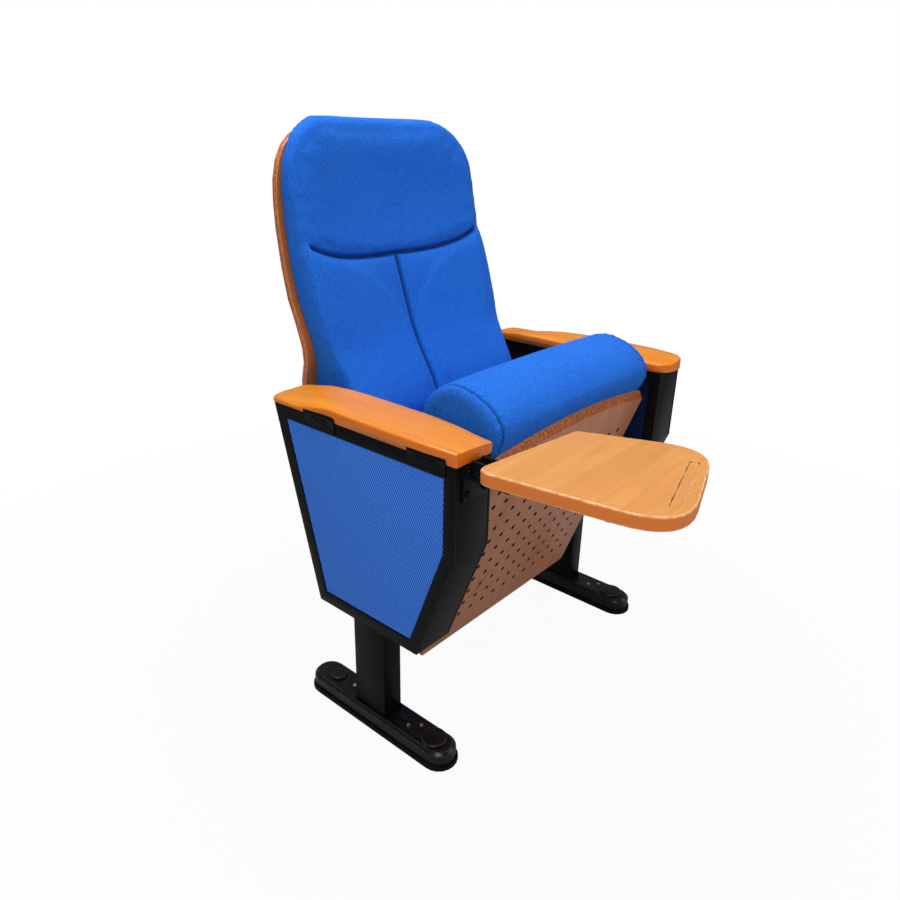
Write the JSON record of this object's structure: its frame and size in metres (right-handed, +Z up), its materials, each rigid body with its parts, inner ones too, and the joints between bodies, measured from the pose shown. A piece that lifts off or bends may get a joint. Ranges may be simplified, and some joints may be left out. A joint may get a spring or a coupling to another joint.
{
  "type": "auditorium seat",
  "caption": "Tip-up auditorium seat: dished plywood back and cushion between two floor stands with side boxes, wooden armrests, and a folding writing tablet.",
  "frame": {"origin": "on the floor, under the middle of the seat's outer box with the tablet in use", "axes": "+Z up, the sitter faces -Y, so -X is the sitter's right"},
  "size_m": [0.7172, 0.8384, 1.01],
  "materials": {
    "black_steel": "satin black powder coat",
    "black_plastic": "fine-grained black moulding",
    "zinc_steel": "bright zinc plating",
    "rubber": "matt black rubber",
    "nylon": "natural nylon",
    "arm_wood": "lacquered, warm orange beech",
    "tablet_wood": "lacquered beech veneer",
    "seat_ply": "lacquered perforated plywood",
    "back_ply": "lacquered moulded plywood",
    "blue_cloth": "royal blue woven upholstery",
    "panel_cloth": "royal blue diagonal weave"
  },
  "bodies": {
    "stand_frame": {"back_cushion": "blue_cloth", "back_shell": "back_ply", "left_arm_plate": "black_steel", "left_armrest": "arm_wood", "left_back_bracket": "black_steel", "left_box_bottom_cover": "black_steel", "left_box_front_cover": "black_steel", "left_box_inner_panel": "panel_cloth", "left_box_inner_trim": "black_steel", "left_box_outer_panel": "panel_cloth", "left_box_outer_trim": "black_steel", "left_box_rear_cover": "black_steel", "left_foot_cover": "black_plastic", "left_foot_front_cap": "rubber", "left_foot_plate": "black_steel", "left_foot_rear_cap": "rubber", "left_pivot_bush": "nylon", "left_pivot_plate": "zinc_steel", "left_post": "black_steel", "left_return_spring": "zinc_steel", "left_seat_stop": "rubber", "right_back_bracket": "black_steel", "right_box_bottom_cover": "black_steel", "right_box_front_cover": "black_steel", "right_box_inner_panel": "panel_cloth", "right_box_inner_trim": "black_steel", "right_box_outer_panel": "panel_cloth", "right_box_outer_trim": "black_steel", "right_box_rear_cover": "black_steel", "right_foot_cover": "black_plastic", "right_foot_front_cap": "rubber", "right_foot_plate": "black_steel", "right_foot_rear_cap": "rubber", "right_lid_front_hinge": "black_steel", "right_lid_rear_hinge": "black_steel", "right_pivot_bush": "nylon", "right_pivot_plate": "zinc_steel", "right_post": "black_steel", "right_return_spring": "zinc_steel", "right_seat_stop": "rubber", "tablet_bracket": "black_steel", "tablet_swing_pin": "zinc_steel"},
    "seat": {"left_pivot_pin": "zinc_steel", "left_seat_arm": "black_steel", "left_stop_cam": "zinc_steel", "right_pivot_pin": "zinc_steel", "right_seat_arm": "black_steel", "right_stop_cam": "zinc_steel", "seat_cushion": "blue_cloth", "seat_pan": "black_steel", "seat_shell": "seat_ply"},
    "tablet_arm": {"tablet_arm": "black_steel"},
    "tablet_board": {"tablet_board": "tablet_wood", "tablet_hinge_leaf": "black_steel"},
    "arm_lid": {"right_arm_lid": "arm_wood", "right_lid_front_flap": "black_steel", "right_lid_rear_flap": "black_steel"}
  },
  "joints": [
    {"name": "seat_tip", "type": "hinge", "parent": "stand_frame", "child": "seat", "pos_m": [0.01195, 0.02728, 0.326], "axis": [1, 0, 0], "range_deg": [0, 64], "stiffness_Nm_per_rad": 4, "springref_deg": -34.38},
    {"name": "tablet_swing", "type": "hinge", "parent": "stand_frame", "child": "tablet_arm", "pos_m": [-0.28856, -0.15372, 0.568], "axis": [-1, 0, 0], "range_deg": [0, 90]},
    {"name": "tablet_flip", "type": "hinge", "parent": "tablet_arm", "child": "tablet_board", "pos_m": [-0.28856, -0.25972, 0.568], "axis": [0, -1, 0], "range_deg": [0, 90]},
    {"name": "lid_open", "type": "hinge", "parent": "stand_frame", "child": "arm_lid", "pos_m": [-0.32781, 0.05228, 0.5785], "axis": [0, -1, 0], "range_deg": [0, 100]}
  ]
}
